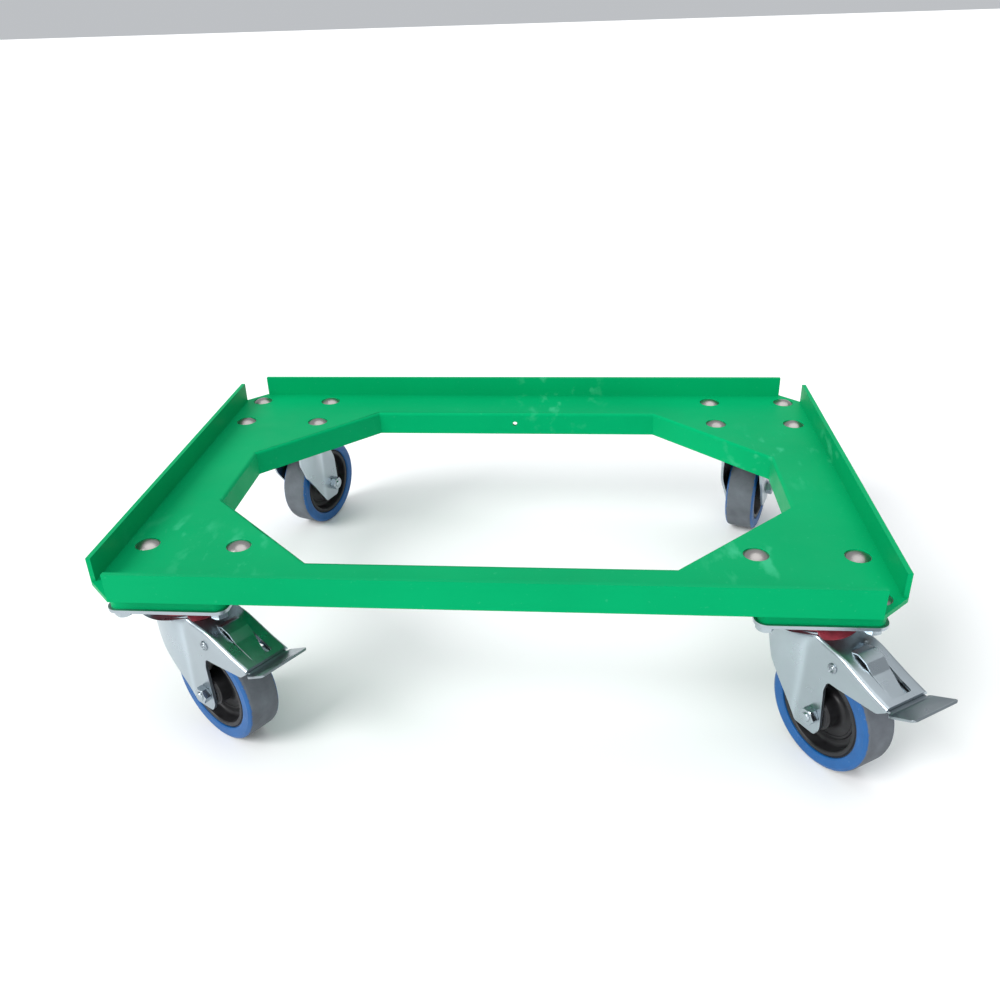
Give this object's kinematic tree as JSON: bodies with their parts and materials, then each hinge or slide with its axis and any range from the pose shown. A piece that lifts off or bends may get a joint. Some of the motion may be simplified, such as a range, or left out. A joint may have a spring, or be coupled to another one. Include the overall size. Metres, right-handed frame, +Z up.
{
  "type": "crate dolly",
  "caption": "Open-deck transport dolly for stacking crates: low moulded green frame with upturned lips and an octagonal opening, on swivel casters with blue rubber tyres, the front pair braked.",
  "frame": {"origin": "the floor plane, on the tyres' contact points, under the middle of the deck", "axes": "+X along the deck's long side to the right, +Z up, -Y towards the braked front"},
  "size_m": [0.6584, 0.5292, 0.174],
  "materials": {
    "deck": "moulded, glossy, scuffed",
    "bolts": "nickel-bright zinc plate",
    "washers": "zinc plate",
    "nuts": "zinc plate",
    "plate": "bright zinc plate, pressed",
    "kingpin": "zinc plate",
    "race": "hardened steel",
    "balls": "polished steel",
    "seal": "satin, greased",
    "fork": "bright zinc plate, pressed",
    "axle_bolts": "zinc plate",
    "axle_nuts": "zinc plate",
    "sleeves": "ground",
    "bearing": "ground rollers",
    "wheel_centre": "moulded polyamide",
    "tyre": "elastic rubber, dusty tread",
    "pedal": "bright zinc plate, pressed",
    "brake_pin": "zinc plate",
    "brake_spring": "tempered"
  },
  "bodies": {
    "deck": {"deck_frame": "deck", "deck_bolts": "bolts", "deck_washers": "washers", "deck_nuts": "nuts", "top_plate_front_right": "plate", "top_plate_front_left": "plate", "top_plate_back_left": "plate", "top_plate_back_right": "plate", "kingpin_front_right": "kingpin", "kingpin_front_left": "kingpin", "kingpin_back_left": "kingpin", "kingpin_back_right": "kingpin", "lower_race_front_right": "race", "lower_race_front_left": "race", "lower_race_back_left": "race", "lower_race_back_right": "race"},
    "caster_front_right": {"swivel_balls_front_right": "balls", "seal_ring_front_right": "seal", "fork_front_right": "fork", "axle_bolt_front_right": "axle_bolts", "axle_nut_front_right": "axle_nuts", "axle_sleeve_front_right": "sleeves", "brake_pin_front_right": "brake_pin", "brake_spring_front_right": "brake_spring"},
    "wheel_front_right": {"roller_bearing_front_right": "bearing", "wheel_centre_front_right": "wheel_centre", "tyre_front_right": "tyre"},
    "pedal_front_right": {"brake_pedal_front_right": "pedal"},
    "caster_front_left": {"swivel_balls_front_left": "balls", "seal_ring_front_left": "seal", "fork_front_left": "fork", "axle_bolt_front_left": "axle_bolts", "axle_nut_front_left": "axle_nuts", "axle_sleeve_front_left": "sleeves", "brake_pin_front_left": "brake_pin", "brake_spring_front_left": "brake_spring"},
    "wheel_front_left": {"roller_bearing_front_left": "bearing", "wheel_centre_front_left": "wheel_centre", "tyre_front_left": "tyre"},
    "pedal_front_left": {"brake_pedal_front_left": "pedal"},
    "caster_back_left": {"swivel_balls_back_left": "balls", "seal_ring_back_left": "seal", "fork_back_left": "fork", "axle_bolt_back_left": "axle_bolts", "axle_nut_back_left": "axle_nuts", "axle_sleeve_back_left": "sleeves"},
    "wheel_back_left": {"roller_bearing_back_left": "bearing", "wheel_centre_back_left": "wheel_centre", "tyre_back_left": "tyre"},
    "caster_back_right": {"swivel_balls_back_right": "balls", "seal_ring_back_right": "seal", "fork_back_right": "fork", "axle_bolt_back_right": "axle_bolts", "axle_nut_back_right": "axle_nuts", "axle_sleeve_back_right": "sleeves"},
    "wheel_back_right": {"roller_bearing_back_right": "bearing", "wheel_centre_back_right": "wheel_centre", "tyre_back_right": "tyre"}
  },
  "joints": [
    {"name": "swivel_front_right", "type": "hinge", "parent": "deck", "child": "caster_front_right", "pos_m": [0.255, -0.164, 0.125], "axis": [0, 0, 1], "continuous": true},
    {"name": "roll_front_right", "type": "hinge", "parent": "caster_front_right", "child": "wheel_front_right", "pos_m": [0.27461, -0.19419, 0.05], "axis": [0.8387, 0.5446, 0], "continuous": true},
    {"name": "brake_front_right", "type": "hinge", "parent": "caster_front_right", "child": "pedal_front_right", "pos_m": [0.28114, -0.20426, 0.103], "axis": [0.8387, 0.5446, 0], "range_deg": [0, 16]},
    {"name": "swivel_front_left", "type": "hinge", "parent": "deck", "child": "caster_front_left", "pos_m": [-0.255, -0.164, 0.125], "axis": [0, 0, 1], "continuous": true},
    {"name": "roll_front_left", "type": "hinge", "parent": "caster_front_left", "child": "wheel_front_left", "pos_m": [-0.22515, -0.18413, 0.05], "axis": [0.5592, 0.829, 0], "continuous": true},
    {"name": "brake_front_left", "type": "hinge", "parent": "caster_front_left", "child": "pedal_front_left", "pos_m": [-0.21521, -0.19084, 0.103], "axis": [0.5592, 0.829, 0], "range_deg": [0, 16]},
    {"name": "swivel_back_left", "type": "hinge", "parent": "deck", "child": "caster_back_left", "pos_m": [-0.255, 0.164, 0.125], "axis": [0, 0, 1], "continuous": true},
    {"name": "roll_back_left", "type": "hinge", "parent": "caster_back_left", "child": "wheel_back_left", "pos_m": [-0.2421, 0.19761, 0.05], "axis": [-0.9336, 0.3584, 0], "continuous": true},
    {"name": "swivel_back_right", "type": "hinge", "parent": "deck", "child": "caster_back_right", "pos_m": [0.255, 0.164, 0.125], "axis": [0, 0, 1], "continuous": true},
    {"name": "roll_back_right", "type": "hinge", "parent": "caster_back_right", "child": "wheel_back_right", "pos_m": [0.2679, 0.19761, 0.05], "axis": [-0.9336, 0.3584, 0], "continuous": true}
  ]
}
